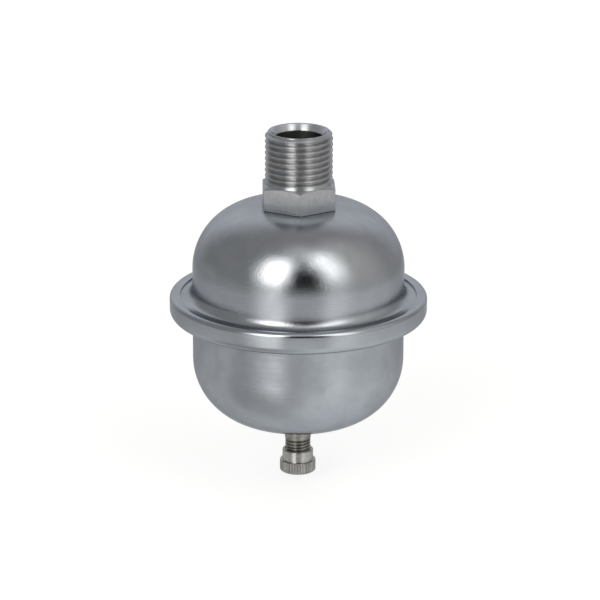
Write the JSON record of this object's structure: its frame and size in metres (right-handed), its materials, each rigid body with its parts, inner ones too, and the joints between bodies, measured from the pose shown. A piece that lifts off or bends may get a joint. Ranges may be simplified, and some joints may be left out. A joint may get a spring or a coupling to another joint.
{
  "type": "water hammer arrestor",
  "caption": "Small stainless steel diaphragm vessel that cushions water hammer, with a male pipe thread and hexagon on top and a capped air valve below.",
  "frame": {"origin": "on the vessel's axis at the foot of the inlet thread", "axes": "+Z along the axis, up and out of the inlet; a corner of the hexagon stands 2.6 degrees off -Y"},
  "size_m": [0.0804, 0.0804, 0.1112],
  "materials": {
    "turned_steel": "bright turned stainless steel",
    "drawn_steel": "satin drawn stainless steel",
    "matt_steel": "matt drawn stainless steel",
    "nickel_brass": "nickel-plated brass",
    "cap_nickel": "matt nickel-plated brass with a straight knurl",
    "bare_brass": "plain turned brass",
    "spring_steel": "drawn spring wire",
    "core_gasket": "soft sealing plastic",
    "seal_rubber": "black rubber",
    "diaphragm_rubber": "moulded butyl rubber"
  },
  "bodies": {
    "vessel": {"inlet_fitting": "turned_steel", "upper_shell": "drawn_steel", "lower_shell": "matt_steel", "valve_stem": "nickel_brass", "stem_gasket": "seal_rubber", "core_swivel": "bare_brass", "core_body": "bare_brass", "core_gasket": "core_gasket", "core_spring": "spring_steel"},
    "diaphragm": {"diaphragm": "diaphragm_rubber"},
    "core_plunger": {"core_pin": "bare_brass", "core_cup": "bare_brass", "core_seal": "seal_rubber"},
    "cap_seal": {"cap_seal": "seal_rubber"},
    "cap": {"valve_cap": "cap_nickel"}
  },
  "joints": [
    {"name": "diaphragm_flex", "type": "slide", "parent": "vessel", "child": "diaphragm", "axis": [0, 0, -1], "range_m": [0, 0.04], "stiffness_N_per_m": 100, "springref_m": -0.003, "deforming": ["diaphragm"]},
    {"name": "core_press", "type": "slide", "parent": "vessel", "child": "core_plunger", "axis": [0, 0, 1], "range_m": [0, 0.0012], "stiffness_N_per_m": 10, "springref_m": -0.0004, "deforming": ["core_spring"]},
    {"name": "cap_travel", "type": "slide", "parent": "vessel", "child": "cap_seal", "axis": [0, 0, -1], "range_m": [0, 0.004]},
    {"name": "cap_turn", "type": "hinge", "parent": "cap_seal", "child": "cap", "pos_m": [0, 0, -0.0948], "axis": [0, 0, -1], "range_deg": [0, 1440]}
  ],
  "couplings": [
    {"joint": "cap_turn", "follows": "cap_travel", "rad_per_m": 6283.2}
  ]
}
